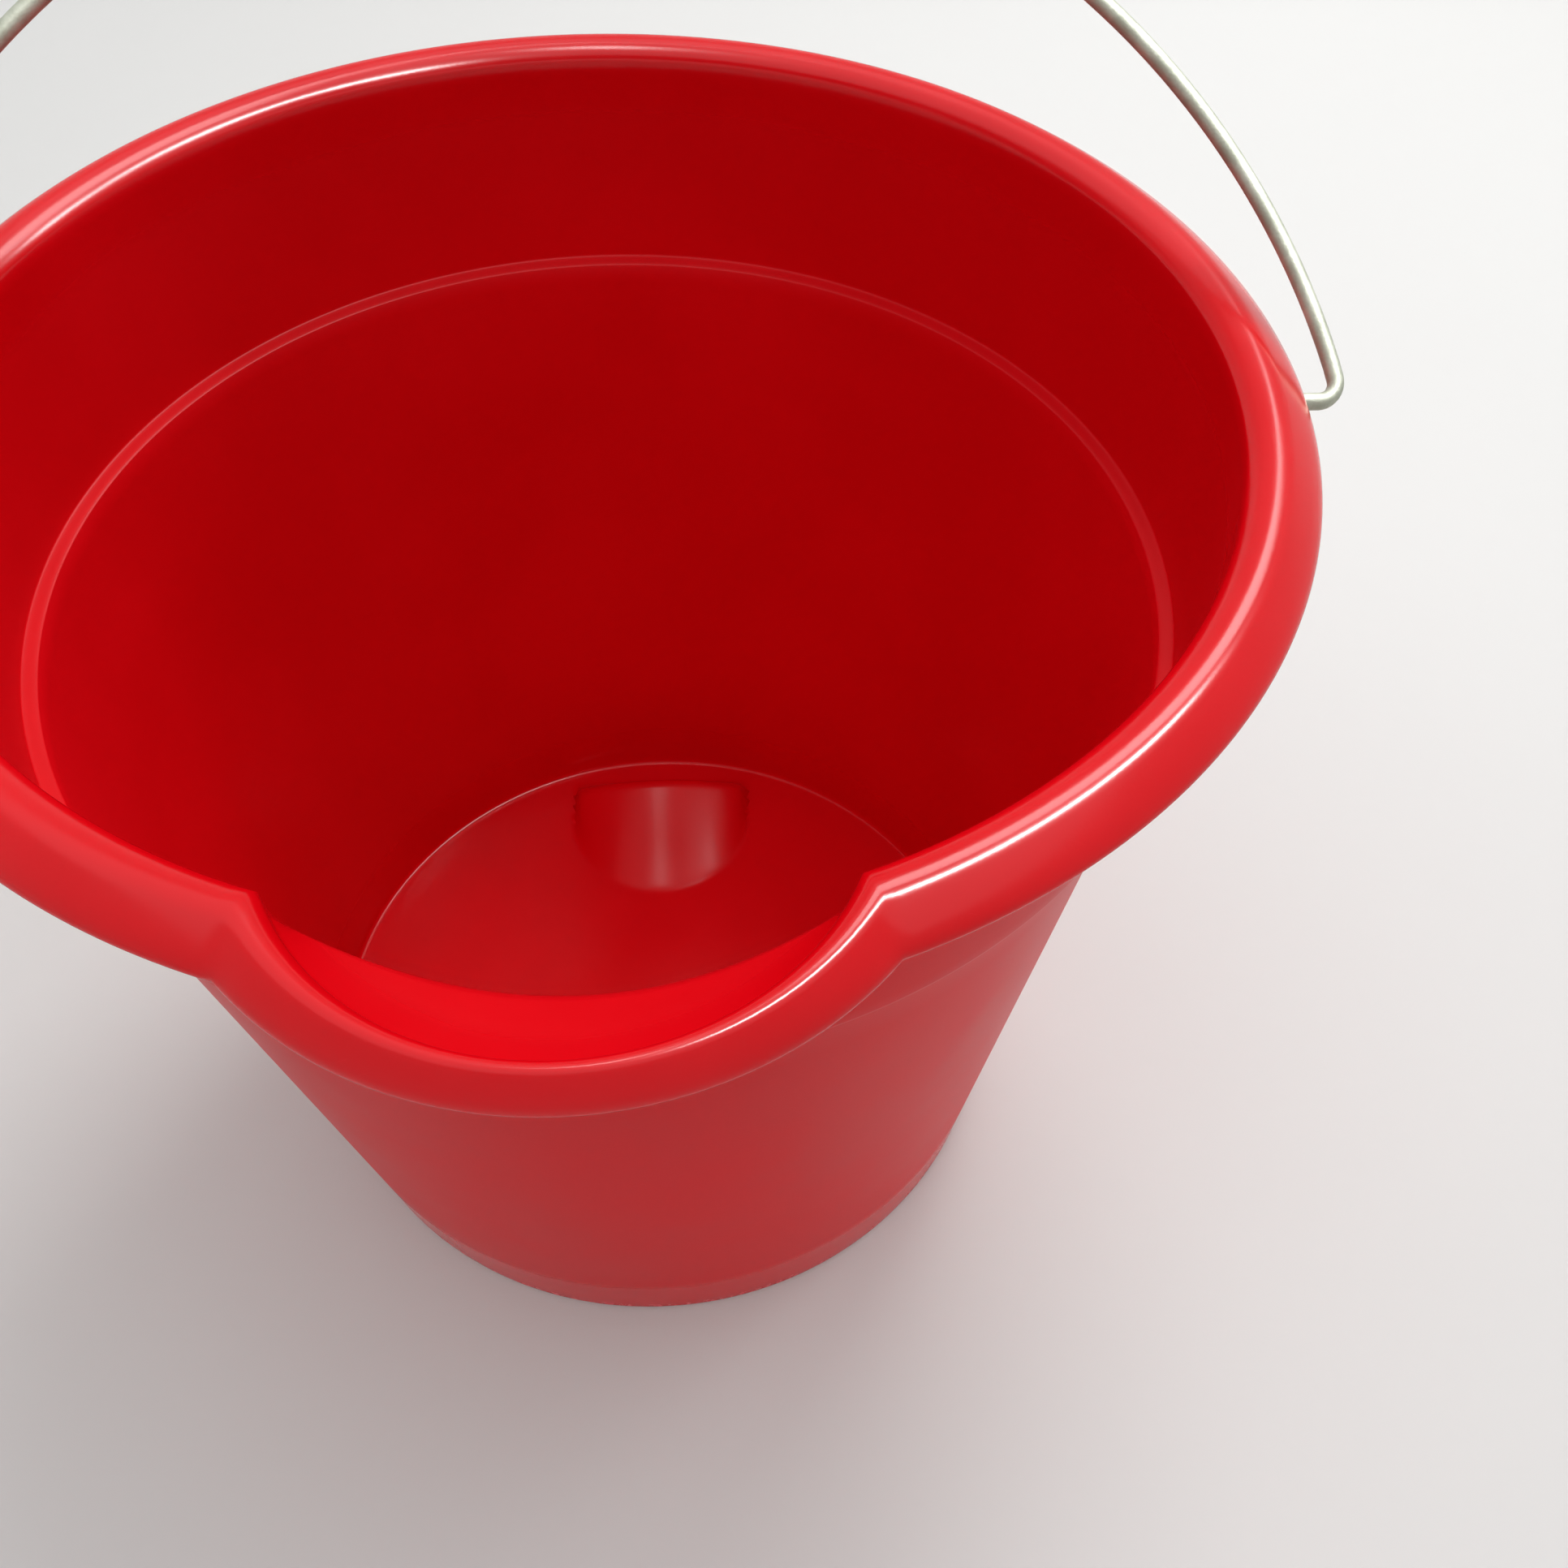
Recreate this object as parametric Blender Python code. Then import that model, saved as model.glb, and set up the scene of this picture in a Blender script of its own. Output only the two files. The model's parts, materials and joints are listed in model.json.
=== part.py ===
# Wash bucket, ten litres: a moulded pail with a pouring lip, a wire bail and a hand grip.
# Metres, +Z up. The lip points to -Y and the bail's pivots lie along X.
# The origin is level with the foot, midway between the lip and the rim opposite it.
import bpy
import bmesh
import math
from mathutils import Matrix, Vector

MM = 0.001

# Pail
RIM_RADIUS = 150.0 * MM        # outer edge of the rim
RIM_EDGE_Z = 238.9 * MM        # height of that edge
RIM_WALL = 2.0 * MM            # the rim's thickness; its edge is rounded
FOOT_RADIUS = 111.6 * MM
FOOT_WIDTH = 5.0 * MM          # of the ring it stands on
FLOOR_Z = 7.2 * MM             # inside floor
WALL = 1.6 * MM
WALL_SLOPE = 0.098
LEDGE_Z = 194.0 * MM           # step inside, where the collar begins
LEDGE_RADIUS = 132.3 * MM
SHOULDER_Z = 189.5 * MM        # the same step outside, from here
COLLAR_Z = 196.0 * MM          # to here
COLLAR_SLOPE = 0.04
ROLL_RADIUS = 6.5 * MM         # crest of the rim
ROLL_CENTRE = (139.95 * MM, 238.71 * MM)
EDGE_RADIUS = 0.9 * MM         # round of the rim's outer edge
FLARE_TOP = (149.6 * MM, 240.9 * MM)     # the rim's top bends from the roll to the edge about here
FLARE_UNDER = (146.4 * MM, 240.6 * MM)   # and its underside passes here
FOOT_ROUND = 1.8 * MM          # outer corner of the foot
CORNER_CUT = 1.4 * MM          # inside corner between wall and floor
LEDGE_ROUND = 0.5 * MM
WALL_ROWS = [30, 85, 140, 189.5, 191.1, 192.8, 194.4, 196]   # heights in mm, up to the collar
INNER_ROWS = [140, 85, 30]                                   # inside, down from the ledge
COLLAR_ROWS = [205, 213, 221, 226, 231, 236]
TURN_STEPS = 72

# Pouring lip
LIP_HALF_ANGLE = 20.8          # degrees each side of -Y
LIP_REACH = 14.85 * MM         # how far the rim's outer edge stands out at its middle
LIP_NARROWING = 0.53           # the rim is this much narrower there, for each metre of its width
LIP_DROP = 1.3 * MM
LIP_START_Z = 205.0 * MM       # below this the lip changes nothing
LIP_BOTTOM_Z = 221.0 * MM      # where the channel leaves the wall, at the lip's middle
LIP_SIDE_Z = 234.0 * MM        # and at its notches
LIP_TOP_Z = 238.0 * MM

# Tipping recess under the base, opposite the lip
RECESS_RADIUS = 32.5 * MM
RECESS_Y = 79.0 * MM
RECESS_HEIGHT = 12.8 * MM      # above the inside floor
RECESS_PEAK = 9.0 * MM         # its highest place lies this far behind its middle
RECESS_BACK = 22.0 * MM        # and it is back down to the floor here
FLOOR_WALL = 2.0 * MM

# Bail
PIVOT_Z = 236.1 * MM
WIRE_RADIUS = 1.74 * MM
HOLE_RADIUS = 2.15 * MM
BAIL_TILT = 55.0               # degrees back from upright, as the pail is stored
ARC_RADIUS = 165.8 * MM
ARC_DROP = 44.6 * MM           # the arc's centre lies this far below the pivots
WIRE_END = 139.6 * MM
LUG_FACE = 147.3 * MM
LUG_WIDTH = 18.0 * MM
LUG_BOTTOM_Z = 228.5 * MM
LUG_TOP_Z = 240.4 * MM         # inside the rim's roll
LUG_INNER = 134.9 * MM         # inside the collar's wall
LUG_ROUND = 2.0 * MM
HOLE_PAST_END = 1.0 * MM       # the hole is this much deeper than the wire reaches
WIRE_CORNER = 3.6 * MM         # bend where the wire turns in to the lug
WIRE_KNEE = 9.0 * MM           # bend where it turns in to the grip
ARC_END = 58.0 * MM            # the arc gives way to a straight line this far from the middle
KNEE_GAP = 6.0 * MM            # knee to the end of the grip
ARC_START = 2.6                # degrees above the pivots' line

# Hand grip
GRIP_LENGTH = 90.0 * MM
GRIP_RADIUS = 10.5 * MM
GRIP_BORE = 2.15 * MM


for old in list(bpy.data.objects):
    bpy.data.objects.remove(old)

bucket = bpy.data.collections.new("wash_bucket")
bpy.context.scene.collection.children.link(bucket)
cutters = bpy.data.collections.new("cutters")
bpy.context.scene.collection.children.link(cutters)

# The pail's own axis, on which every part is placed.
pail_axis = bpy.data.objects.new("pail_axis", None)
pail_axis.location = (0, LIP_REACH / 2, 0)
bucket.objects.link(pail_axis)


def material(name, colour, roughness, metallic=0.0):
    mat = bpy.data.materials.new(name)
    mat.use_nodes = True
    shader = mat.node_tree.nodes["Principled BSDF"]
    shader.inputs["Base Color"].default_value = (*colour, 1.0)
    shader.inputs["Roughness"].default_value = roughness
    shader.inputs["Metallic"].default_value = metallic
    return mat


def add_object(name, mesh, mat, collection=bucket):
    obj = bpy.data.objects.new(name, mesh)
    collection.objects.link(obj)
    obj.parent = pail_axis
    if mat:
        mesh.materials.append(mat)
    return obj


def make_cutter(name, bm):
    """A guide shape for a Boolean: drawn as wire and left out of the model."""
    mesh = bpy.data.meshes.new(name)
    bm.to_mesh(mesh)
    bm.free()
    obj = add_object(name, mesh, None, cutters)
    obj.display_type = "WIRE"
    obj.hide_render = True
    return obj


def boolean(obj, other, operation):
    mod = obj.modifiers.new(operation.lower(), "BOOLEAN")
    mod.operation = operation
    mod.object = other
    mod.solver = "EXACT"


def arc(centre, radius, start, end, count):
    """Points (r, z) on an arc, angles in degrees from +r towards +z."""
    points = []
    for i in range(count + 1):
        angle = math.radians(start + (end - start) * i / count)
        points.append((centre[0] + radius * math.cos(angle), centre[1] + radius * math.sin(angle)))
    return points


def turn(points, steps, closed):
    """A solid of revolution about Z from (r, z) points."""
    bm = bmesh.new()
    verts = [bm.verts.new((r, 0.0, z)) for r, z in points]
    edges = [bm.edges.new(pair) for pair in zip(verts, verts[1:])]
    if closed:
        edges.append(bm.edges.new((verts[-1], verts[0])))
    bmesh.ops.spin(bm, geom=verts + edges, cent=(0, 0, 0), axis=(0, 0, 1), dvec=(0, 0, 0),
                   angle=2 * math.pi, steps=steps, use_merge=True)
    bmesh.ops.remove_doubles(bm, verts=bm.verts, dist=0.00002)
    bmesh.ops.recalc_face_normals(bm, faces=bm.faces)
    return bm


def soft_curve(a, b, c, count):
    """Points between a and c on a curve that leaves and arrives along the lines through b."""
    points = []
    for i in range(1, count):
        t = i / count
        points.append(tuple((1 - t) ** 2 * p + 2 * t * (1 - t) * q + t * t * r for p, q, r in zip(a, b, c)))
    return points


# ---- Pail: the turned shell ----

def wall_radius(z):
    """Outside of the straight taper."""
    return FOOT_RADIUS + WALL_SLOPE * z


def collar_radius(z):
    """Inside of the collar above the ledge."""
    return LEDGE_RADIUS + COLLAR_SLOPE * (z - LEDGE_Z)


def outer_radius(z):
    """Outside of the whole wall, with the shoulder under the collar."""
    rise = min(max((z - SHOULDER_Z) / (COLLAR_Z - SHOULDER_Z), 0.0), 1.0)
    swell = 0.5 - 0.5 * math.cos(math.pi * rise)
    return wall_radius(z) + swell * (collar_radius(z) + WALL - wall_radius(z))


def pail_profile():
    foot_ring = FOOT_RADIUS - FOOT_WIDTH
    underside = FLOOR_Z - FLOOR_WALL
    foot_corner = FOOT_RADIUS - 1.6 * MM
    points = [(0.0, underside), (foot_ring - 1.0 * MM, underside), (foot_ring, underside - 1.0 * MM),
              (foot_ring + 0.4 * MM, 0.0), (foot_corner, 0.0)]
    points += arc((foot_corner, FOOT_ROUND), FOOT_ROUND - 0.05 * MM, -60, 0, 2)
    for z in WALL_ROWS + COLLAR_ROWS:
        points.append((outer_radius(z * MM), z * MM))
    # Underside of the rim, its edge, and the top back over to the inside.
    edge = arc((RIM_RADIUS - EDGE_RADIUS, RIM_EDGE_Z), EDGE_RADIUS, -125, 10, 3)
    points += arc(ROLL_CENTRE, ROLL_RADIUS - RIM_WALL, 150, 62, 4) + [FLARE_UNDER] + edge
    crest = arc(ROLL_CENTRE, ROLL_RADIUS, 62, 152, 5)
    points += soft_curve(edge[-1], FLARE_TOP, crest[0], 3) + crest
    for z in reversed(COLLAR_ROWS):
        points.append((collar_radius(z * MM), z * MM))
    ledge_edge = wall_radius(LEDGE_Z) - WALL
    points += [(LEDGE_RADIUS, LEDGE_Z + 0.4 * MM), (LEDGE_RADIUS - 0.3 * MM, LEDGE_Z),
               (ledge_edge + LEDGE_ROUND, LEDGE_Z), (ledge_edge, LEDGE_Z - LEDGE_ROUND)]
    for z in INNER_ROWS:
        points.append((wall_radius(z * MM) - WALL, z * MM))
    floor_edge = wall_radius(FLOOR_Z) - WALL
    points += [(floor_edge + 0.1 * MM, FLOOR_Z + CORNER_CUT), (floor_edge - CORNER_CUT, FLOOR_Z)]
    points.append((0.0, FLOOR_Z))
    return points


def lip_radius(radius, angle):
    """Plan outline of the lip: an arc through both notches and the lip's farthest point."""
    half = math.radians(LIP_HALF_ANGLE)
    reach = radius + LIP_REACH + LIP_NARROWING * (RIM_RADIUS - radius)
    chord = radius * math.sin(half)
    height = reach - radius * math.cos(half)
    arc_radius = (chord ** 2 + height ** 2) / (2 * height)
    centre = reach - arc_radius
    return centre * math.cos(angle) + math.sqrt(arc_radius ** 2 - (centre * math.sin(angle)) ** 2)


def shape_lip(bm):
    """Draws the collar and the rim out to the lip, between two sharp notches."""
    half = math.radians(LIP_HALF_ANGLE)
    step_angle = math.radians(20.0)
    blend_angle = math.radians(40.0)
    for v in bm.verts:
        radius = math.hypot(v.co.x, v.co.y)
        if radius < 0.1 or v.co.z < 0.2:
            continue
        angle = math.atan2(v.co.x, -v.co.y)
        size = abs(angle)
        if size > blend_angle - 0.001:
            continue
        # The turned shell's meridians are nudged so that one falls on each notch.
        if size <= step_angle + 0.001:
            moved = size * half / step_angle
        else:
            moved = half + (size - step_angle) * (blend_angle - half) / (blend_angle - step_angle)
        angle = math.copysign(moved, angle)
        if moved < half + 0.001:
            across = moved / half
            crease = LIP_BOTTOM_Z + (LIP_SIDE_Z - LIP_BOTTOM_Z) * across ** 2
            # Rows of the collar slide so that one of them runs along the channel's crease.
            height = v.co.z
            if LIP_START_Z < height <= LIP_BOTTOM_Z:
                share = (height - LIP_START_Z) / (LIP_BOTTOM_Z - LIP_START_Z)
                height = LIP_START_Z + share * (crease - LIP_START_Z)
            elif LIP_BOTTOM_Z < height < LIP_TOP_Z:
                share = (height - LIP_BOTTOM_Z) / (LIP_TOP_Z - LIP_BOTTOM_Z)
                height = crease + share * (LIP_TOP_Z - crease)
            radius += (height - v.co.z) * COLLAR_SLOPE
            lift = min(max((height - crease) / (LIP_TOP_Z - crease), 0.0), 1.0)
            radius += lift * (lip_radius(radius, moved) - radius)
            if v.co.z > LIP_TOP_Z:
                height -= LIP_DROP * (1.0 - across ** 2)
            v.co.z = height
        v.co.x = radius * math.sin(angle)
        v.co.y = -radius * math.cos(angle)


def recess_rise(x, y, radius):
    """Height of the recess's form: it climbs from its round front edge and drops steeply at the back."""
    run = y + math.sqrt(max(radius ** 2 - x ** 2, 0.0))
    rise = RECESS_HEIGHT / (RECESS_RADIUS + RECESS_PEAK) * run ** 2 / (run + 1.5 * MM)
    fall = min(max((y - RECESS_PEAK) / (RECESS_BACK - RECESS_PEAK), 0.0), 1.0)
    return rise * (0.5 + 0.5 * math.cos(math.pi * fall))


def recess_form(radius, base, bottom):
    """A disc whose top is lifted by the recess's height, from base, with its underside flat."""
    rings = 10
    points = [(radius * i / rings, base) for i in range(rings + 1)] + [(radius, bottom), (0.0, bottom)]
    bm = turn(points, 44, False)
    for v in bm.verts:
        if v.co.z > base - 0.1 * MM:
            v.co.z += recess_rise(v.co.x, v.co.y, radius)
    bmesh.ops.translate(bm, verts=bm.verts, vec=(0, RECESS_Y, 0))
    return bm


def lug_block(side):
    """A block under the rim that carries one end of the bail."""
    bm = bmesh.new()
    bmesh.ops.create_cube(bm, size=1.0)
    bmesh.ops.scale(bm, verts=bm.verts, vec=(LUG_FACE - LUG_INNER, LUG_WIDTH, LUG_TOP_Z - LUG_BOTTOM_Z))
    bmesh.ops.translate(bm, verts=bm.verts,
                        vec=((LUG_FACE + LUG_INNER) / 2, 0, (LUG_TOP_Z + LUG_BOTTOM_Z) / 2))
    low_edges = [e for e in bm.edges if all(v.co.x > LUG_FACE - MM for v in e.verts)
                 and not all(v.co.z > LUG_TOP_Z - MM for v in e.verts)]
    bmesh.ops.bevel(bm, geom=low_edges, offset=LUG_ROUND, segments=2, affect="EDGES", profile=0.5)
    if side < 0:
        bmesh.ops.rotate(bm, verts=bm.verts, cent=(0, 0, 0), matrix=Matrix.Rotation(math.pi, 3, "Z"))
    return bm


def pivot_hole(side):
    bm = bmesh.new()
    depth = 20.0 * MM
    bottom = WIRE_END - HOLE_PAST_END
    bmesh.ops.create_cone(bm, cap_ends=True, segments=24, radius1=HOLE_RADIUS, radius2=HOLE_RADIUS, depth=depth)
    bmesh.ops.rotate(bm, verts=bm.verts, cent=(0, 0, 0), matrix=Matrix.Rotation(math.pi / 2, 3, "Y"))
    bmesh.ops.translate(bm, verts=bm.verts, vec=(side * (bottom + depth / 2), 0, PIVOT_Z))
    return bm


shell = turn(pail_profile(), TURN_STEPS, False)
shape_lip(shell)
shell_mesh = bpy.data.meshes.new("pail")
shell.to_mesh(shell_mesh)
shell.free()
pail = add_object("bucket_body", shell_mesh, material("red_plastic", (0.62, 0.004, 0.012), 0.32))

boolean(pail, make_cutter("recess_top", recess_form(RECESS_RADIUS, FLOOR_Z, FLOOR_Z - 1.0 * MM)), "UNION")
for side in (1, -1):
    boolean(pail, make_cutter("lug_form", lug_block(side)), "UNION")

hollow = make_cutter("recess_hollow",
                     recess_form(RECESS_RADIUS - FLOOR_WALL, FLOOR_Z - FLOOR_WALL, -5.0 * MM))
limit = bmesh.new()
inside_foot = FOOT_RADIUS - FOOT_WIDTH - 1.2 * MM
bmesh.ops.create_cone(limit, cap_ends=True, segments=TURN_STEPS, radius1=inside_foot,
                      radius2=inside_foot, depth=80 * MM)
boolean(hollow, make_cutter("foot_limit", limit), "INTERSECT")
boolean(pail, hollow, "DIFFERENCE")
for side in (1, -1):
    boolean(pail, make_cutter("pivot_hole", pivot_hole(side)), "DIFFERENCE")


# ---- Bail: one wire, bent in a plane that swings about the pivots ----

swing = bpy.data.objects.new("bail_swing", None)
swing.location = (0, 0, PIVOT_Z)
swing.rotation_euler = (math.radians(-BAIL_TILT), 0, 0)
bucket.objects.link(swing)
swing.parent = pail_axis


def fillet(before, corner, after, radius, count):
    """Points that round a corner of a polyline."""
    a = (Vector(before) - Vector(corner)).normalized()
    b = (Vector(after) - Vector(corner)).normalized()
    half = a.angle(b) / 2
    centre = Vector(corner) + (a + b).normalized() * radius / math.sin(half)
    start = Vector(corner) + a * radius / math.tan(half) - centre
    end = Vector(corner) + b * radius / math.tan(half) - centre
    turn_angle = math.atan2(start.cross(end), start.dot(end))
    points = []
    for i in range(count + 1):
        angle = turn_angle * i / count
        points.append(centre + Matrix.Rotation(angle, 2) @ start)
    return points


def arc_point(u):
    return Vector((u, math.sqrt(ARC_RADIUS ** 2 - u ** 2) - ARC_DROP))


def wire_half():
    """One half of the wire from its end in the lug to the middle of the grip: (u, v) in the bail's plane."""
    foot = math.sqrt(ARC_RADIUS ** 2 - ARC_DROP ** 2)
    end = Vector((WIRE_END, 0.0))
    corner = Vector((foot, 0.0))
    last = arc_point(ARC_END)
    slope = ARC_END / (last.y + ARC_DROP)
    knee_u = GRIP_LENGTH / 2 + KNEE_GAP
    knee = Vector((knee_u, last.y + (ARC_END - knee_u) * slope))
    middle = Vector((0.0, knee.y))
    start_angle = math.asin(ARC_DROP / ARC_RADIUS)
    points = [end] + fillet(end, corner, arc_point(foot - 3.0 * MM), WIRE_CORNER, 4)
    first = start_angle + math.radians(ARC_START)
    final = math.acos(ARC_END / ARC_RADIUS)
    count = 15
    for i in range(count + 1):
        angle = first + (final - first) * i / count
        points.append(Vector((ARC_RADIUS * math.cos(angle), ARC_RADIUS * math.sin(angle) - ARC_DROP)))
    points += fillet(last, knee, middle, WIRE_KNEE, 3)
    return points


half_wire = wire_half()
route = half_wire + [Vector((-p.x, p.y)) for p in reversed(half_wire)]
wire_curve = bpy.data.curves.new("bail_wire", "CURVE")
wire_curve.dimensions = "3D"
wire_curve.bevel_depth = WIRE_RADIUS
wire_curve.bevel_resolution = 2
wire_curve.use_fill_caps = True
spline = wire_curve.splines.new("POLY")
spline.points.add(len(route) - 1)
for point, place in zip(spline.points, route):
    point.co = (place.x, 0.0, place.y, 1.0)
wire = bpy.data.objects.new("bail_wire", wire_curve)
bucket.objects.link(wire)
wire_curve.materials.append(material("zinc_wire", (0.55, 0.55, 0.48), 0.4, 1.0))
wire.parent = swing


# ---- Hand grip: a barrel that turns on the straight middle of the wire ----

def grip_profile():
    half = GRIP_LENGTH / 2
    points = [(GRIP_BORE, half), (GRIP_RADIUS - 3.0 * MM, half)]
    points += arc((GRIP_RADIUS - 2.0 * MM, half - 2.4 * MM), 2.4 * MM, 70, 0, 3)
    points += [(GRIP_RADIUS - 1.0 * MM, half - 7.0 * MM), (GRIP_RADIUS - 0.3 * MM, half - 20.0 * MM)]
    lower = [(r, -z) for r, z in reversed(points)]
    return points + [(GRIP_RADIUS, 0.0)] + lower


grip_bm = turn(grip_profile(), 28, True)
bmesh.ops.rotate(grip_bm, verts=grip_bm.verts, cent=(0, 0, 0), matrix=Matrix.Rotation(math.pi / 2, 3, "Y"))
grip_mesh = bpy.data.meshes.new("hand_grip")
grip_bm.to_mesh(grip_mesh)
grip_bm.free()
grip = add_object("hand_grip", grip_mesh, material("black_plastic", (0.02, 0.02, 0.02), 0.5))
grip.parent = swing
grip.location = (0, 0, half_wire[-1].y)

for obj in (pail, grip):
    obj.data.shade_smooth()
    obj.data.set_sharp_from_angle(angle=math.radians(35))
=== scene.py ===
# Wash bucket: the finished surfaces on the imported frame.
# Metres, +Z up, the pouring lip towards -Y, the bail's pivots along X.
import bpy
import bmesh
import json
import math
from mathutils import Matrix, Quaternion, Vector


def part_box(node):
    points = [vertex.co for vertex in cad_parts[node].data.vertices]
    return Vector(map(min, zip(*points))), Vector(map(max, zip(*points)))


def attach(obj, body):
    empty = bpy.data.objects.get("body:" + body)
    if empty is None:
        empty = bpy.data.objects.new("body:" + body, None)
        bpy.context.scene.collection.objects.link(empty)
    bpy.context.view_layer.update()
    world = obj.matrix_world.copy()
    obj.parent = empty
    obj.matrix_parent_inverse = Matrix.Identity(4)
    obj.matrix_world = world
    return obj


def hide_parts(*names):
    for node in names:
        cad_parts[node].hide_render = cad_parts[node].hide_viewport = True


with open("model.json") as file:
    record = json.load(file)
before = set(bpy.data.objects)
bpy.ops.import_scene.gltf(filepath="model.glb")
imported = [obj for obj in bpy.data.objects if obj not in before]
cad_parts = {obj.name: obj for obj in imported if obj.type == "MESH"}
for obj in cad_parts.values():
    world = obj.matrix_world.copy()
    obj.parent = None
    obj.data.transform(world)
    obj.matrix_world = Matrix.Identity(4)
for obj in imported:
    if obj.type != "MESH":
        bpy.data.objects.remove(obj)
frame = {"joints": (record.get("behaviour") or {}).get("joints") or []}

scene = bpy.context.scene
mm = 0.001
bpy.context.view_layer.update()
pivot = Vector(next(j["pos_m"] for j in frame["joints"] if j["name"] == "bail_swing"))
print("frame loaded, pivots at", tuple(pivot))


# ---- small helpers ----

def arcPoints(centre, radius, start, end, count):
    # degrees, from +r towards +z
    points = []
    for i in range(count + 1):
        angle = math.radians(start + (end - start) * i / count)
        points.append((centre[0] + radius * math.cos(angle), centre[1] + radius * math.sin(angle)))
    return points


def softCurve(a, b, c, count):
    # from a to c, leaving and arriving along the lines through b
    points = []
    for i in range(1, count):
        t = i / count
        points.append(tuple((1 - t) ** 2 * p + 2 * t * (1 - t) * q + t * t * r for p, q, r in zip(a, b, c)))
    return points


def evenSteps(start, end, step):
    count = max(1, round(abs(end - start) / step))
    return [start + (end - start) * i / count for i in range(count + 1)]


def turnSection(points, steps, closed):
    bm = bmesh.new()
    verts = [bm.verts.new((r, 0, z)) for r, z in points]
    edges = [bm.edges.new(pair) for pair in zip(verts, verts[1:])]
    if closed:
        edges.append(bm.edges.new((verts[-1], verts[0])))
    bmesh.ops.spin(bm, geom=verts + edges, cent=(0, 0, 0), axis=(0, 0, 1), dvec=(0, 0, 0),
                   angle=2 * math.pi, steps=steps, use_merge=True)
    bmesh.ops.remove_doubles(bm, verts=bm.verts, dist=0.01)
    bmesh.ops.recalc_face_normals(bm, faces=bm.faces)
    return bm


def finishPiece(name, bm, material, body, node, sharp=40):
    # the mesh arrives in millimetres, already in its place
    bmesh.ops.scale(bm, verts=bm.verts, vec=(mm, mm, mm))
    mesh = bpy.data.meshes.new(name)
    bm.to_mesh(mesh)
    bm.free()
    piece = bpy.data.objects.new(name, mesh)
    scene.collection.objects.link(piece)
    mesh.materials.append(material)
    mesh.shade_smooth()
    mesh.set_sharp_from_angle(angle=math.radians(sharp))
    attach(piece, body)
    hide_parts(node)
    return piece


# ---- shader group and nodes ----

def newGroup(name, inputs, outputs):
    group = bpy.data.node_groups.new(name, "ShaderNodeTree")
    for label, value in inputs:
        socket = group.interface.new_socket(label, in_out="INPUT", socket_type="NodeSocketFloat")
        socket.default_value = value
    for label, kind in outputs:
        group.interface.new_socket(label, in_out="OUTPUT", socket_type=kind)
    return group, group.nodes.new("NodeGroupInput"), group.nodes.new("NodeGroupOutput")


def math2(tree, operation, a, b, clamp=False):
    node = tree.nodes.new("ShaderNodeMath")
    node.operation = operation
    node.use_clamp = clamp
    for socket, value in zip(node.inputs, (a, b)):
        if isinstance(value, (int, float)):
            socket.default_value = value
        else:
            tree.links.new(value, socket)
    return node.outputs[0]


def noiseNode(tree, coords, scale, detail=2.0, rough=0.5):
    node = tree.nodes.new("ShaderNodeTexNoise")
    tree.links.new(coords, node.inputs["Vector"])
    if isinstance(scale, (int, float)):
        node.inputs["Scale"].default_value = scale
    else:
        tree.links.new(scale, node.inputs["Scale"])
    node.inputs["Detail"].default_value = detail
    node.inputs["Roughness"].default_value = rough
    return node.outputs["Fac"]


def rampNode(tree, value, low, high, toLow=0.0, toHigh=1.0):
    node = tree.nodes.new("ShaderNodeMapRange")
    node.interpolation_type = "SMOOTHSTEP"
    tree.links.new(value, node.inputs["Value"])
    for label, number in (("From Min", low), ("From Max", high), ("To Min", toLow), ("To Max", toHigh)):
        node.inputs[label].default_value = number
    return node.outputs["Result"]


def mouldedSkin():
    # the faint waviness and grain of a moulded surface, with its fine scratches
    group, given, result = newGroup(
        "mouldedSkin",
        [("Wave Size", 30.0), ("Grain Size", 900.0), ("Scratches", 0.3)],
        [("Mottle", "NodeSocketFloat"), ("Rub", "NodeSocketFloat"), ("Height", "NodeSocketFloat")])
    coords = group.nodes.new("ShaderNodeTexCoord").outputs["Object"]
    wave = noiseNode(group, coords, given.outputs["Wave Size"], 3.0)
    grain = noiseNode(group, coords, given.outputs["Grain Size"], 2.0)
    stretch = group.nodes.new("ShaderNodeMapping")
    stretch.inputs["Rotation"].default_value = (0.5, 0.35, 0.9)
    stretch.inputs["Scale"].default_value = (1.0, 14.0, 1.0)
    group.links.new(coords, stretch.inputs["Vector"])
    lines = rampNode(group, noiseNode(group, stretch.outputs["Vector"], 130.0, 5.0, 0.7), 0.62, 0.74)
    patches = rampNode(group, noiseNode(group, coords, 17.0, 2.0), 0.45, 0.7)
    rub = math2(group, "MULTIPLY", math2(group, "MULTIPLY", lines, patches), given.outputs["Scratches"])
    height = math2(group, "ADD", math2(group, "MULTIPLY", wave, 0.8), math2(group, "MULTIPLY", grain, 0.2))
    height = math2(group, "SUBTRACT", height, math2(group, "MULTIPLY", rub, 0.15))
    group.links.new(wave, result.inputs["Mottle"])
    group.links.new(rub, result.inputs["Rub"])
    group.links.new(height, result.inputs["Height"])
    return group


skinGroup = mouldedSkin()
print("shader group ready")


def useGroup(tree, group, **values):
    node = tree.nodes.new("ShaderNodeGroup")
    node.node_tree = group
    for label, value in values.items():
        node.inputs[label.replace("_", " ")].default_value = value
    return node


def mixColour(tree, mask, a, b):
    node = tree.nodes.new("ShaderNodeMix")
    node.data_type = "RGBA"
    tree.links.new(mask, node.inputs["Factor"])
    for socket, value in ((node.inputs["A"], a), (node.inputs["B"], b)):
        if isinstance(value, tuple):
            socket.default_value = (*value, 1.0)
        else:
            tree.links.new(value, socket)
    return node.outputs["Result"]


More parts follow.
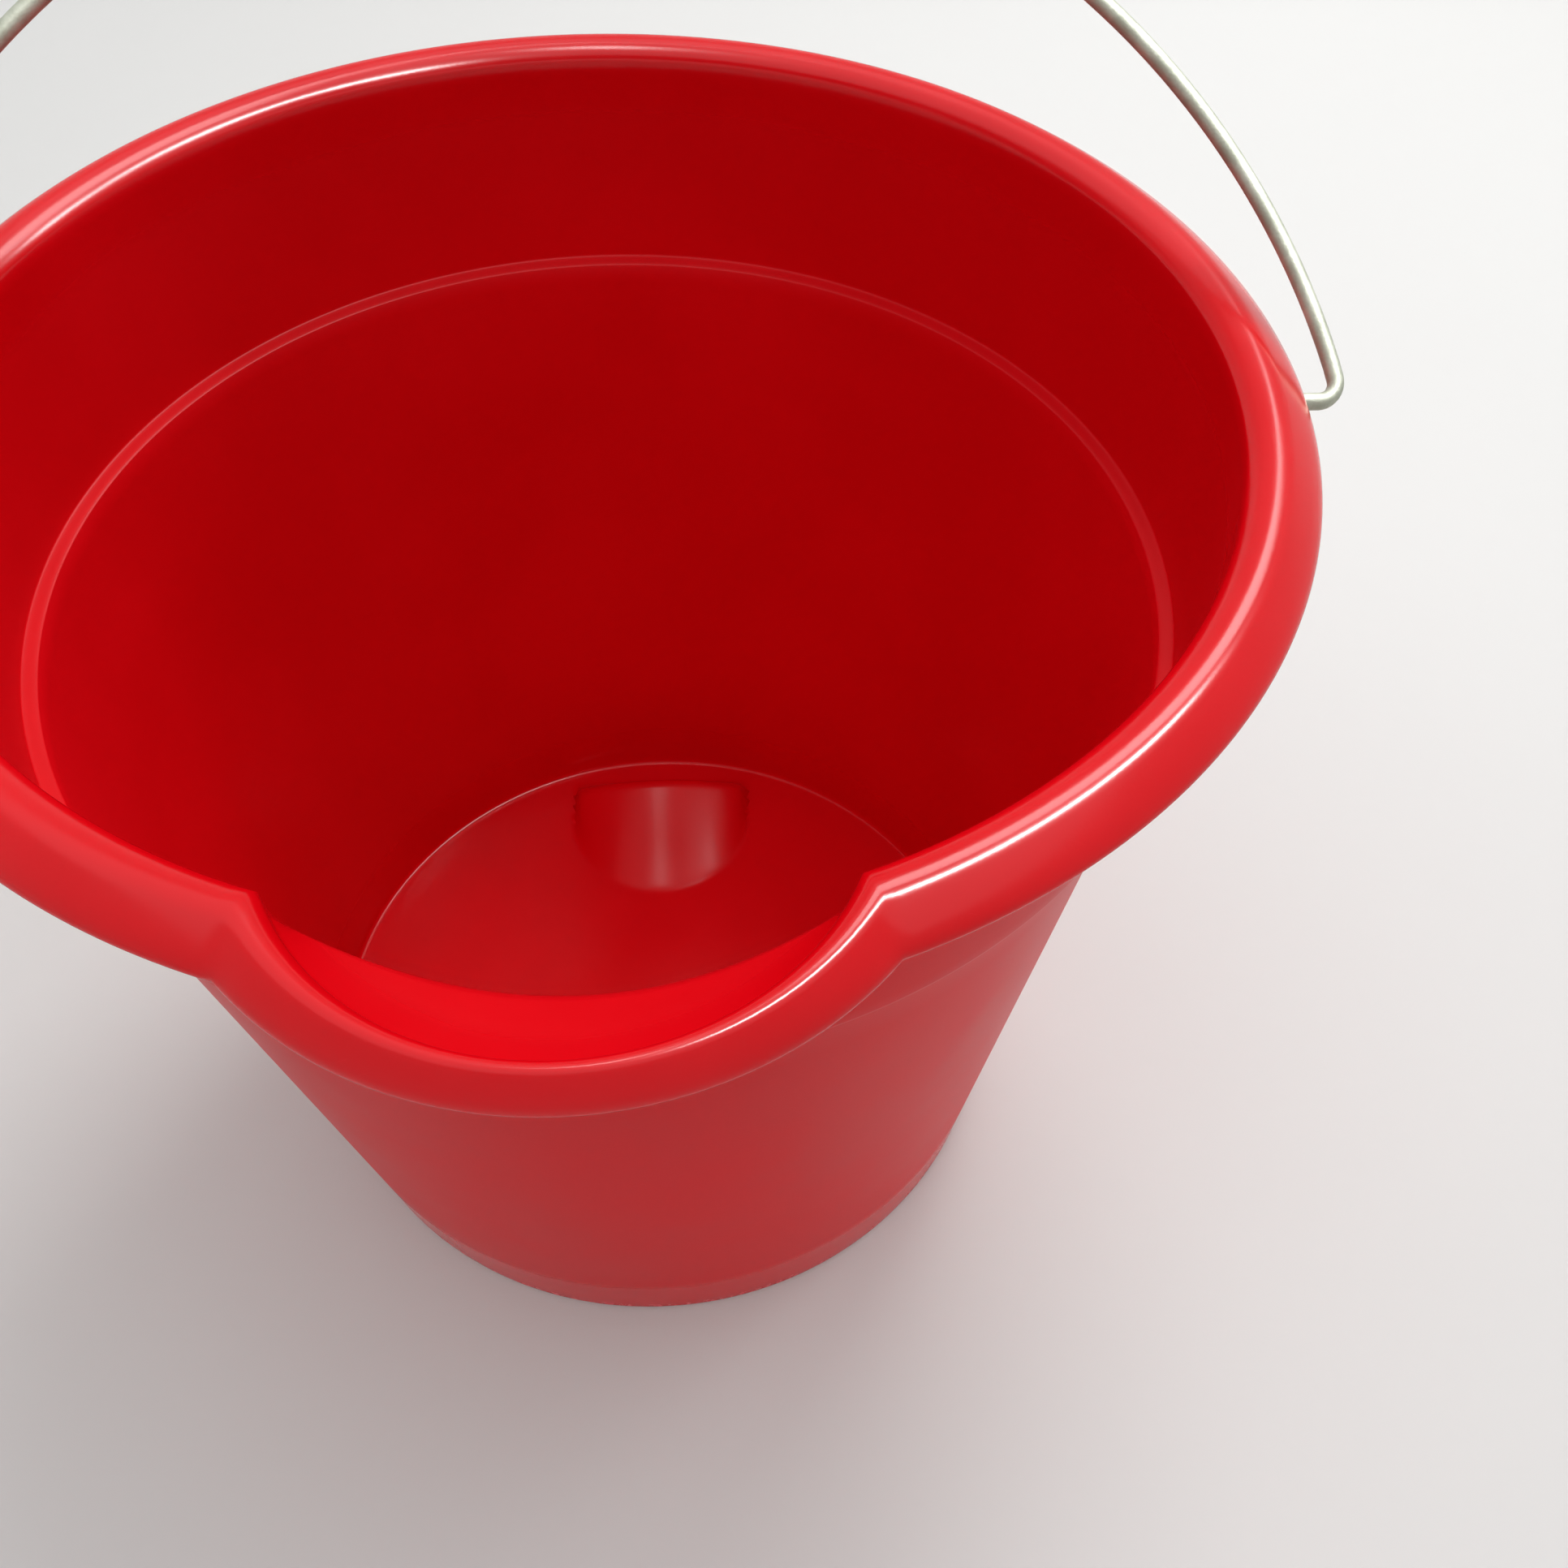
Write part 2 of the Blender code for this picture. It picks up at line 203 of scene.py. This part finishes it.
def bumpNode(tree, height, strength, distance):
    node = tree.nodes.new("ShaderNodeBump")
    node.inputs["Strength"].default_value = strength
    node.inputs["Distance"].default_value = distance
    tree.links.new(height, node.inputs["Height"])
    return node.outputs["Normal"]


def newMaterial(name):
    material = bpy.data.materials.new(name)
    material.use_nodes = True
    return material, material.node_tree, material.node_tree.nodes["Principled BSDF"]


# ---- red polypropylene ----

redPlastic = {
    "colour": (0.71, 0.0010, 0.0060),
    "deep": (0.65, 0.0007, 0.0046),
    "rubbed": (0.86, 0.05, 0.06),
    "polished": (0.20, 0.36),               # roughness and specular level of the rim
    "satin": (0.36, 0.13),                  # and of the walls; the floor is as smooth as the rim
    "satinZ": (18.0, 30.0, 226.0, 236.0),   # mm: the walls' skin fades in and out between these
    "footScuff": 7.0,                       # height in mm up to which the foot is scuffed
}


def redPlasticMaterial(look):
    material, tree, shader = newMaterial("red_plastic")
    skin = useGroup(tree, skinGroup, Wave_Size=14.0, Grain_Size=1400.0, Scratches=0.12)
    colour = mixColour(tree, rampNode(tree, skin.outputs["Mottle"], 0.3, 0.7), look["deep"], look["colour"])
    colour = mixColour(tree, skin.outputs["Rub"], colour, look["rubbed"])
    coords = tree.nodes.new("ShaderNodeTexCoord").outputs["Object"]
    heights = tree.nodes.new("ShaderNodeSeparateXYZ")
    tree.links.new(coords, heights.inputs[0])
    nearFoot = rampNode(tree, heights.outputs["Z"], 0.0, look["footScuff"] * mm, 1.0, 0.0)
    chips = rampNode(tree, noiseNode(tree, coords, 210.0, 4.0, 0.7), 0.48, 0.62)
    worn = math2(tree, "MULTIPLY", nearFoot, chips)
    colour = mixColour(tree, math2(tree, "MULTIPLY", worn, 0.5), colour, look["rubbed"])
    tree.links.new(colour, shader.inputs["Base Color"])
    fadeIn, satinLow, satinHigh, fadeOut = (z * mm for z in look["satinZ"])
    belowRim = rampNode(tree, heights.outputs["Z"], satinHigh, fadeOut, 1.0, 0.0)
    satin = math2(tree, "MULTIPLY", rampNode(tree, heights.outputs["Z"], fadeIn, satinLow), belowRim)
    skinRough = rampNode(tree, satin, 0.0, 1.0, look["polished"][0], look["satin"][0])
    rough = math2(tree, "ADD", rampNode(tree, skin.outputs["Mottle"], 0.3, 0.7, -0.03, 0.03), skinRough)
    rough = math2(tree, "ADD", rough, math2(tree, "MULTIPLY", skin.outputs["Rub"], 0.2))
    rough = math2(tree, "ADD", rough, math2(tree, "MULTIPLY", worn, 0.25), clamp=True)
    tree.links.new(rough, shader.inputs["Roughness"])
    tree.links.new(bumpNode(tree, skin.outputs["Height"], 0.12, 0.0004), shader.inputs["Normal"])
    shader.inputs["IOR"].default_value = 1.49
    level = rampNode(tree, belowRim, 0.0, 1.0, look["polished"][1], look["satin"][1])
    tree.links.new(level, shader.inputs["Specular IOR Level"])
    return material


# ---- the pail ----

pail = {                                    # mm
    "rimEdgeZ": 238.9,
    "edgeRadius": 0.9,                      # half the thickness of the rim's edge
    "crest": (139.95, 238.71),
    "crestRadius": 6.5,
    "rimWall": 2.0,
    "flareTop": (149.6, 240.9),             # the rim's top bends from crest to edge about here
    "flareUnder": (146.6, 240.9),           # and its underside about here
    "footRadius": 111.6,
    "footFlat": (107.4, 109.7),             # the ring it stands on, inner and outer edge
    "floorZ": 7.2,
    "floorWall": 2.0,
    "wall": 1.6,
    "taper": 0.098,
    "ledgeZ": 194.0,
    "ledgeRadius": 132.3,
    "ledgeAbove": 0.4,                      # the ledge starts this much above its height
    "ledgeFall": 1.3,                       # and drops this much
    "shoulder": (189.5, 196.0),             # from and to this height, the same step outside
    "collarTaper": 0.04,
    "rowStep": 1.5,
    "turnSteps": 360,
}
lip = {                                     # mm and degrees
    "halfAngle": 20.8,
    "reach": 14.85,
    "narrowing": 0.53,
    "drop": 1.3,
    "startZ": 205.0,
    "bottomZ": 221.0,
    "sideZ": 234.0,
    "topZ": 238.0,
}
recess = {                                  # mm; peak and back are measured from its middle
    "radius": 32.5,
    "y": 79.0,
    "height": 12.8,
    "peak": 9.0,
    "back": 22.0,
}


def wallRadius(z):
    return pail["footRadius"] + pail["taper"] * z


def collarRadius(z):
    return pail["ledgeRadius"] + pail["collarTaper"] * (z - pail["ledgeZ"])


def outerRadius(z):
    low, high = pail["shoulder"]
    rise = min(max((z - low) / (high - low), 0.0), 1.0)
    swell = 0.5 - 0.5 * math.cos(math.pi * rise)
    return wallRadius(z) + swell * (collarRadius(z) + pail["wall"] - wallRadius(z))


def pailSection():
    crest, crestRadius = pail["crest"], pail["crestRadius"]
    floorZ, wall, step = pail["floorZ"], pail["wall"], pail["rowStep"]
    ledgeZ, rimRadius = pail["ledgeZ"], pail["rimRadius"]
    under = floorZ - pail["floorWall"]
    footIn, footOut = pail["footFlat"]
    recessNear = recess["y"] - recess["radius"] - 2.0
    # underside and foot ring
    points = [(0.0, under), (recessNear / 2, under)]
    points += [(r, under) for r in evenSteps(recessNear, footIn - 2.4, step)]
    points += arcPoints((footIn - 2.4, under - 1.8), 1.8, 75, 5, 4)
    points += arcPoints((footIn + 0.5, 0.5), 0.5, 185, 270, 3)
    points += arcPoints((footOut, 2.2), 2.2, -85, -6, 7)
    # outside of the wall, shoulder and collar
    low, high = pail["shoulder"]
    points += [(outerRadius(z), z) for z in evenSteps(6.0, low, 12.0)]
    points += [(outerRadius(z), z) for z in evenSteps(low, high, 0.8)[1:]]
    points += [(outerRadius(z), z) for z in evenSteps(high, lip["startZ"], 3.0)[1:]]
    points += [(outerRadius(z), z) for z in evenSteps(lip["startZ"], 238.5, step)[1:]]
    # under the rim, round its edge, over the crest and down inside
    edge = (rimRadius - pail["edgeRadius"], pail["rimEdgeZ"])
    points += arcPoints(crest, crestRadius - pail["rimWall"], 150, 62, 8)
    rimUnder = points[-1]
    edgeArc = arcPoints(edge, pail["edgeRadius"], -125, 10, 7)
    points += softCurve(rimUnder, pail["flareUnder"], edgeArc[0], 5) + edgeArc
    crestArc = arcPoints(crest, crestRadius, 62, 152, 14)
    points += softCurve(edgeArc[-1], pail["flareTop"], crestArc[0], 9) + crestArc
    points += [(collarRadius(z), z) for z in evenSteps(239.0, lip["startZ"], step)]
    points += [(collarRadius(z), z) for z in evenSteps(lip["startZ"], ledgeZ + 0.8, 3.0)[1:]]
    # ledge
    ledgeIn = wallRadius(ledgeZ) - wall
    for i in range(9):
        swell = 0.5 + 0.5 * math.cos(math.pi * i / 8)
        height = ledgeZ + pail["ledgeAbove"] - pail["ledgeFall"] * i / 8
        points.append((ledgeIn + swell * (pail["ledgeRadius"] - ledgeIn), height))
    # inside of the wall down to the floor
    points += [(wallRadius(z) - wall, z) for z in evenSteps(ledgeZ - 5.0, 22.0, 12.0)]
    points += [(wallRadius(z) - wall, z) for z in evenSteps(22.0, floorZ + 2.4, step)[1:]]
    corner = wallRadius(floorZ) - wall - 1.7
    points += arcPoints((corner, floorZ + 1.8), 1.8, 0, -90, 5)
    points += [(r, floorZ) for r in evenSteps(corner - 1.0, recessNear, step)]
    points += [(recessNear / 2, floorZ), (0.0, floorZ)]
    return points


def lipRadius(radius, angle):
    # an arc in plan through both notches and the lip's farthest point
    half = math.radians(lip["halfAngle"])
    reach = radius + lip["reach"] + lip["narrowing"] * (pail["rimRadius"] - radius)
    chord = radius * math.sin(half)
    height = reach - radius * math.cos(half)
    arcRadius = (chord ** 2 + height ** 2) / (2 * height)
    centre = reach - arcRadius
    return centre * math.cos(angle) + math.sqrt(arcRadius ** 2 - (centre * math.sin(angle)) ** 2)


def drawLip(bm):
    half = math.radians(lip["halfAngle"])
    stepAngle = math.radians(21.0)          # the meridian that is nudged onto the notch
    blendAngle = math.radians(40.0)
    for v in bm.verts:
        radius = math.hypot(v.co.x, v.co.y)
        if radius < 100 or v.co.z < 100:
            continue
        angle = math.atan2(v.co.x, -v.co.y)
        size = abs(angle)
        if size > blendAngle - 0.001:
            continue
        if size <= stepAngle + 0.001:
            moved = size * half / stepAngle
        else:
            moved = half + (size - stepAngle) * (blendAngle - half) / (blendAngle - stepAngle)
        angle = math.copysign(moved, angle)
        if moved < half + 0.0001:
            across = moved / half
            crease = lip["bottomZ"] + (lip["sideZ"] - lip["bottomZ"]) * across ** 2
            height = v.co.z
            if lip["startZ"] < height <= lip["bottomZ"]:
                share = (height - lip["startZ"]) / (lip["bottomZ"] - lip["startZ"])
                height = lip["startZ"] + share * (crease - lip["startZ"])
            elif lip["bottomZ"] < height < lip["topZ"]:
                share = (height - lip["bottomZ"]) / (lip["topZ"] - lip["bottomZ"])
                height = crease + share * (lip["topZ"] - crease)
            radius += (height - v.co.z) * pail["collarTaper"]
            lift = min(max((height - crease) / (lip["topZ"] - crease), 0.0), 1.0)
            radius += lift * (lipRadius(radius, moved) - radius)
            if v.co.z > lip["topZ"]:
                height -= lip["drop"] * (1.0 - across ** 2)
            v.co.z = height
        v.co.x = radius * math.sin(angle)
        v.co.y = -radius * math.cos(angle)


def recessRise(x, y, radius):
    # climbs from the round front edge and drops steeply at the back
    run = y + math.sqrt(max(radius ** 2 - x ** 2, 0.0))
    if run <= 0.0:
        return 0.0
    rise = recess["height"] / (recess["radius"] + recess["peak"]) * run ** 2 / (run + 1.5)
    fall = min(max((y - recess["peak"]) / (recess["back"] - recess["peak"]), 0.0), 1.0)
    return rise * (0.5 + 0.5 * math.cos(math.pi * fall))


def raiseRecess(bm):
    floorZ = pail["floorZ"]
    under = floorZ - pail["floorWall"]
    for v in bm.verts:
        x, y = v.co.x, v.co.y - recess["y"]
        if abs(x) > recess["radius"] or y < -recess["radius"] or v.co.z > floorZ + 1:
            continue
        if abs(v.co.z - under) < 0.01:
            v.co.z += recessRise(x, y, recess["radius"] - pail["floorWall"])
        elif abs(v.co.z - floorZ) < 0.01:
            v.co.z += recessRise(x, y, recess["radius"])


lug = {                                     # mm
    "low": 228.5,
    "high": 240.0,                          # inside the rim's roll
    "inner": 134.6,
    "face": 147.3,
    "width": 18.0,
    "round": 2.0,
    "holeRadius": 2.15,
    "holeDepth": 20.0,                      # of the cutter, half of it stands out of the lug
    "holeMiddle": 148.6,
}


def pivotLug(bm, side):
    # a rounded block under the rim
    made = bmesh.ops.create_cube(bm, size=1.0)["verts"]
    low, high, inner, face, width = (lug[k] for k in ("low", "high", "inner", "face", "width"))
    bmesh.ops.scale(bm, verts=made, vec=(face - inner, width, high - low))
    bmesh.ops.translate(bm, verts=made, vec=((face + inner) / 2, 0, (high + low) / 2))
    outer = {e for v in made for e in v.link_edges
             if all(w.co.x > face - 0.1 for w in e.verts) or all(w.co.z < low + 0.1 for w in e.verts)}
    bmesh.ops.bevel(bm, geom=list(outer), offset=lug["round"], segments=4, profile=0.5, affect="EDGES",
                     material=-1)
    if side < 0:
        bmesh.ops.rotate(bm, verts=bm.verts, cent=(0, 0, 0), matrix=Matrix.Rotation(math.pi, 3, "Z"))


def lugMesh(side):
    # the lug with a blind hole for the wire's end
    block = bmesh.new()
    pivotLug(block, side)
    hole = bmesh.new()
    bmesh.ops.create_cone(hole, cap_ends=True, segments=40, radius1=lug["holeRadius"],
                          radius2=lug["holeRadius"], depth=lug["holeDepth"])
    bmesh.ops.rotate(hole, verts=hole.verts, cent=(0, 0, 0), matrix=Matrix.Rotation(math.pi / 2, 3, "Y"))
    bmesh.ops.translate(hole, verts=hole.verts, vec=(side * lug["holeMiddle"], 0, pivot.z / mm))
    objects = []
    for name, bm in (("lug", block), ("lugHole", hole)):
        mesh = bpy.data.meshes.new(name)
        bm.to_mesh(mesh)
        bm.free()
        obj = bpy.data.objects.new(name, mesh)
        scene.collection.objects.link(obj)
        objects.append(obj)
    cut = objects[0].modifiers.new("cut", "BOOLEAN")
    cut.operation = "DIFFERENCE"
    cut.object = objects[1]
    bpy.context.view_layer.update()
    done = bpy.data.meshes.new_from_object(objects[0].evaluated_get(bpy.context.evaluated_depsgraph_get()))
    for obj in objects:
        bpy.data.objects.remove(obj)
    return done


def makePail():
    pail["rimRadius"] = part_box("bucket_body")[1].x / mm
    bm = turnSection(pailSection(), pail["turnSteps"], False)
    drawLip(bm)
    raiseRecess(bm)
    for side in (1, -1):
        bm.from_mesh(lugMesh(side))
    bmesh.ops.translate(bm, verts=bm.verts, vec=(0, pivot.y / mm, 0))
    return finishPiece("bucket_shell", bm, redPlasticMaterial(redPlastic), "bucket", "bucket_body",
                       50)


shell = makePail()
print("pail made,", len(shell.data.polygons), "faces")


# ---- the wire ----

bail = {                                    # mm, in the plane of the bail
    "wireRadius": 1.74,
    "arcRadius": 165.8,
    "arcDrop": 44.6,
    "wireEnd": 139.6,
    "cornerRadius": 3.6,
    "kneeRadius": 9.0,
    "kneeU": 51.0,
    "leaveU": 58.0,
    "arcStart": 2.6,                        # degrees above the pivots' line
}
gripLow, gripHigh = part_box("hand_grip")
gripCentre = (gripLow + gripHigh) / 2
bailTilt = math.atan2(gripCentre.y - pivot.y, gripCentre.z - pivot.z)

zincWire = {
    "colour": (0.50, 0.52, 0.43),
    "dull": (0.36, 0.38, 0.30),
    "roughness": 0.55,
}


def zincMaterial(look):
    material, tree, shader = newMaterial("zinc_wire")
    coords = tree.nodes.new("ShaderNodeTexCoord").outputs["Object"]
    cloud = rampNode(tree, noiseNode(tree, coords, 130.0, 5.0, 0.65), 0.38, 0.66)
    speck = noiseNode(tree, coords, 1900.0, 2.0)
    tree.links.new(mixColour(tree, cloud, look["dull"], look["colour"]), shader.inputs["Base Color"])
    rough = math2(tree, "ADD", rampNode(tree, speck, 0.3, 0.7, -0.06, 0.06), look["roughness"])
    rough = math2(tree, "ADD", rough, math2(tree, "MULTIPLY", cloud, -0.06))
    tree.links.new(rough, shader.inputs["Roughness"])
    tree.links.new(bumpNode(tree, speck, 0.3, 0.00015), shader.inputs["Normal"])
    shader.inputs["Metallic"].default_value = 0.4
    return material


def fillet(before, corner, after, radius, count):
    a = (before - corner).normalized()
    b = (after - corner).normalized()
    half = a.angle(b) / 2
    centre = corner + (a + b).normalized() * radius / math.sin(half)
    start = corner + a * radius / math.tan(half) - centre
    end = corner + b * radius / math.tan(half) - centre
    turn = math.atan2(start.cross(end), start.dot(end))
    return [centre + Matrix.Rotation(turn * i / count, 2) @ start for i in range(count + 1)]


def wireHalf():
    radius, drop = bail["arcRadius"], bail["arcDrop"]
    foot = math.sqrt(radius ** 2 - drop ** 2)
    corner = Vector((foot, 0.0))
    near = Vector((foot - 3.0, math.sqrt(radius ** 2 - (foot - 3.0) ** 2) - drop))
    leave = bail["leaveU"]
    last = Vector((leave, math.sqrt(radius ** 2 - leave ** 2) - drop))
    slope = leave / (last.y + drop)
    knee = Vector((bail["kneeU"], last.y + (leave - bail["kneeU"]) * slope))
    end = Vector((bail["wireEnd"], 0.0))
    points = [end] + fillet(end, corner, near, bail["cornerRadius"], 10)
    first = math.asin(drop / radius) + math.radians(bail["arcStart"])
    final = math.acos(leave / radius)
    for i in range(61):
        angle = first + (final - first) * i / 60
        points.append(Vector((radius * math.cos(angle), radius * math.sin(angle) - drop)))
    return points + fillet(last, knee, Vector((0.0, knee.y)), bail["kneeRadius"], 8)


def makeWire():
    half = wireHalf()
    route = half + [Vector((-p.x, p.y)) for p in reversed(half)]
    curve = bpy.data.curves.new("wirePath", "CURVE")
    curve.dimensions = "3D"
    curve.bevel_depth = bail["wireRadius"]
    curve.bevel_resolution = 6
    curve.use_fill_caps = True
    spline = curve.splines.new("POLY")
    spline.points.add(len(route) - 1)
    for point, place in zip(spline.points, route):
        y = pivot.y / mm + place.y * math.sin(bailTilt)
        z = pivot.z / mm + place.y * math.cos(bailTilt)
        point.co = (place.x, y, z, 1.0)
    path = bpy.data.objects.new("wirePath", curve)
    scene.collection.objects.link(path)
    bpy.context.view_layer.update()
    tube = bpy.data.meshes.new_from_object(path.evaluated_get(bpy.context.evaluated_depsgraph_get()))
    bpy.data.objects.remove(path)
    bm = bmesh.new()
    bm.from_mesh(tube)
    bmesh.ops.remove_doubles(bm, verts=bm.verts, dist=0.01)
    bmesh.ops.recalc_face_normals(bm, faces=bm.faces)
    return finishPiece("bail_wire_fine", bm, zincMaterial(zincWire), "bail", "bail_wire")


wire = makeWire()
print("wire bent,", len(wire.data.polygons), "faces")


# ---- the hand grip ----

grip = {                                    # mm
    "length": 90.0,
    "bore": 2.15,
    "belly": 10.4,
    "neck": 8.9,
    "bead": 10.9,
    "beadHalf": 2.4,
    "flutes": 14,
    "fluteDepth": 0.55,
    "fluteEnd": 9.0,                        # the flutes stop this far from each end
    "neckLength": 7.0,
    "turnSteps": 168,
}
gripPlastic = {"colour": (0.018, 0.018, 0.019), "worn": (0.07, 0.07, 0.07), "roughness": 0.42}


def gripMaterial(look):
    material, tree, shader = newMaterial("grip_plastic")
    skin = useGroup(tree, skinGroup, Wave_Size=60.0, Grain_Size=2200.0, Scratches=0.8)
    colour = mixColour(tree, skin.outputs["Rub"], look["colour"], look["worn"])
    tree.links.new(colour, shader.inputs["Base Color"])
    low, high = look["roughness"] - 0.05, look["roughness"] + 0.08
    rough = rampNode(tree, skin.outputs["Mottle"], 0.3, 0.7, low, high)
    tree.links.new(rough, shader.inputs["Roughness"])
    tree.links.new(bumpNode(tree, skin.outputs["Height"], 0.4, 0.0004), shader.inputs["Normal"])
    return material


def gripSection():
    half = grip["length"] / 2
    beadMiddle = half - grip["beadHalf"]
    points = [(grip["bore"] + 0.4, half - 0.4), (grip["bore"] + 1.2, half)]
    points += [(grip["bead"] - grip["beadHalf"], half)]
    points += arcPoints((grip["bead"] - grip["beadHalf"], beadMiddle), grip["beadHalf"], 75, 0, 6)
    points += arcPoints((grip["bead"] - grip["beadHalf"], beadMiddle), grip["beadHalf"], -12, -50, 3)
    neckZ = half - grip["neckLength"]
    points += [(grip["neck"] + 0.15, neckZ + 1.2)]
    for i in range(15):
        t = i / 14
        radius = grip["neck"] + (grip["belly"] - grip["neck"]) * math.sin(t * math.pi / 2)
        points.append((radius, neckZ * (1 - t)))
    mirrored = [(r, -z) for r, z in reversed(points[:-1])]
    return points + mirrored


def makeGrip():
    bm = turnSection(gripSection(), grip["turnSteps"], True)
    fluteEnd = grip["length"] / 2 - grip["fluteEnd"]
    for v in bm.verts:
        radius = math.hypot(v.co.x, v.co.y)
        if radius < grip["neck"] - 0.5 or abs(v.co.z) > fluteEnd:
            continue
        fade = min((fluteEnd - abs(v.co.z)) / 6.0, 1.0)
        wave = 0.5 - 0.5 * math.cos(grip["flutes"] * math.atan2(v.co.y, v.co.x))
        share = 1.0 - grip["fluteDepth"] * fade * wave ** 2 / radius
        v.co.x *= share
        v.co.y *= share
    bmesh.ops.rotate(bm, verts=bm.verts, cent=(0, 0, 0), matrix=Matrix.Rotation(math.pi / 2, 3, "Y"))
    bmesh.ops.translate(bm, verts=bm.verts, vec=gripCentre / mm)
    return finishPiece("hand_grip_fine", bm, gripMaterial(gripPlastic), "grip", "hand_grip")


handGrip = makeGrip()
print("grip turned,", len(handGrip.data.polygons), "faces")


# ---- floor, light and camera ----

studio = {
    "floorRadius": 1.7,
    "sweepRadius": 0.9,
    "wallHeight": 1.6,
    "paper": (0.65, 0.645, 0.63),
    "world": (0.97, 0.98, 1.0),
    "worldStrength": 1.15,
    "windowEnds": ((0.10, 0.50, 1.44), (0.80, 1.15, 1.20)),   # middle of its near and far edge
    "windowWidth": 0.50,
    "windowPower": 12.0,
    "stripEnds": ((0.25, -0.30, 1.35), (0.95, 0.52, 1.25)),
    "stripWidth": 0.14,
    "stripPower": 36.0,
    "tubeEnds": ((-0.085, 0.05, 1.5), (-0.085, 0.3, 1.5)),
    "tubeWidth": 0.03,
    "tubePower": 1.6,
}


def paperMaterial():
    material, tree, shader = newMaterial("pale_paper")
    coords = tree.nodes.new("ShaderNodeTexCoord").outputs["Object"]
    tone = rampNode(tree, noiseNode(tree, coords, 3.0, 3.0), 0.3, 0.7)
    warm = tuple(0.985 * c for c in studio["paper"])
    tree.links.new(mixColour(tree, tone, warm, studio["paper"]), shader.inputs["Base Color"])
    shader.inputs["Roughness"].default_value = 0.75
    return material


def makeFloor():
    r, sweep = studio["floorRadius"], studio["sweepRadius"]
    section = [(0.0, 0.0), (r * 0.5, 0.0), (r, 0.0)]
    section += arcPoints((r, sweep), sweep, -90, 0, 24)[1:]
    section.append((r + sweep, sweep + studio["wallHeight"]))
    bm = bmesh.new()
    verts = [bm.verts.new((x, 0, z)) for x, z in section]
    edges = [bm.edges.new(pair) for pair in zip(verts, verts[1:])]
    bmesh.ops.spin(bm, geom=verts + edges, cent=(0, 0, 0), axis=(0, 0, 1), dvec=(0, 0, 0),
                   angle=2 * math.pi, steps=128, use_merge=True)
    bmesh.ops.remove_doubles(bm, verts=bm.verts, dist=0.0001)
    bmesh.ops.recalc_face_normals(bm, faces=bm.faces)
    bmesh.ops.reverse_faces(bm, faces=bm.faces)
    mesh = bpy.data.meshes.new("studio_floor")
    bm.to_mesh(mesh)
    bm.free()
    mesh.shade_smooth()
    mesh.materials.append(paperMaterial())
    floor = bpy.data.objects.new("studio_floor", mesh)
    scene.collection.objects.link(floor)


def longLight(name, ends, width, power, target):
    # a rectangle that runs from one end to the other and faces the target
    near, far = Vector(ends[0]), Vector(ends[1])
    middle = (near + far) / 2
    along = (far - near).normalized()
    back = (middle - Vector(target)).normalized()
    side = along.cross(back).normalized()
    back = side.cross(along)
    light = bpy.data.lights.new(name, "AREA")
    light.shape = "RECTANGLE"
    light.size, light.size_y = width, (far - near).length
    light.energy = power
    lamp = bpy.data.objects.new(name, light)
    turn = Matrix((side, along, side.cross(along))).transposed().to_4x4()
    lamp.matrix_world = Matrix.Translation(middle) @ turn
    scene.collection.objects.link(lamp)
    return lamp


def makeLight():
    world = bpy.data.worlds.new("studio")
    world.use_nodes = True
    background = world.node_tree.nodes["Background"]
    background.inputs["Color"].default_value = (*studio["world"], 1.0)
    background.inputs["Strength"].default_value = studio["worldStrength"]
    scene.world = world
    middle = (0, 0, 0.2)
    longLight("window", studio["windowEnds"], studio["windowWidth"], studio["windowPower"], middle)
    # two narrow lamps that only show as highlights
    strip = longLight("strip", studio["stripEnds"], studio["stripWidth"], studio["stripPower"], middle)
    tube = longLight("tube", studio["tubeEnds"], studio["tubeWidth"], studio["tubePower"], middle)
    strip.visible_diffuse = False
    tube.visible_diffuse = False


viewpoint = {                               # m and degrees
    "place": (0.02739, -0.24885, 0.41414),
    "lookAt": (0.03884, -0.07815, 0.11924),
    "roll": 1.3438,
    "lens": 30.98,
    "shift": (-0.00116, 0.16622),
}


def makeCamera():
    camera = bpy.data.cameras.new("camera")
    camera.lens = viewpoint["lens"]
    camera.sensor_width = 36.0
    camera.shift_x, camera.shift_y = viewpoint["shift"]
    camera.clip_start = 0.01
    holder = bpy.data.objects.new("camera", camera)
    holder.location = viewpoint["place"]
    aim = Vector(viewpoint["lookAt"]) - holder.location
    holder.rotation_mode = "QUATERNION"
    roll = Quaternion((0, 0, 1), math.radians(viewpoint["roll"]))
    holder.rotation_quaternion = aim.to_track_quat("-Z", "Y") @ roll
    scene.collection.objects.link(holder)
    scene.camera = holder


makeFloor()
makeLight()
makeCamera()
scene.view_settings.view_transform = "Standard"
print("studio set")
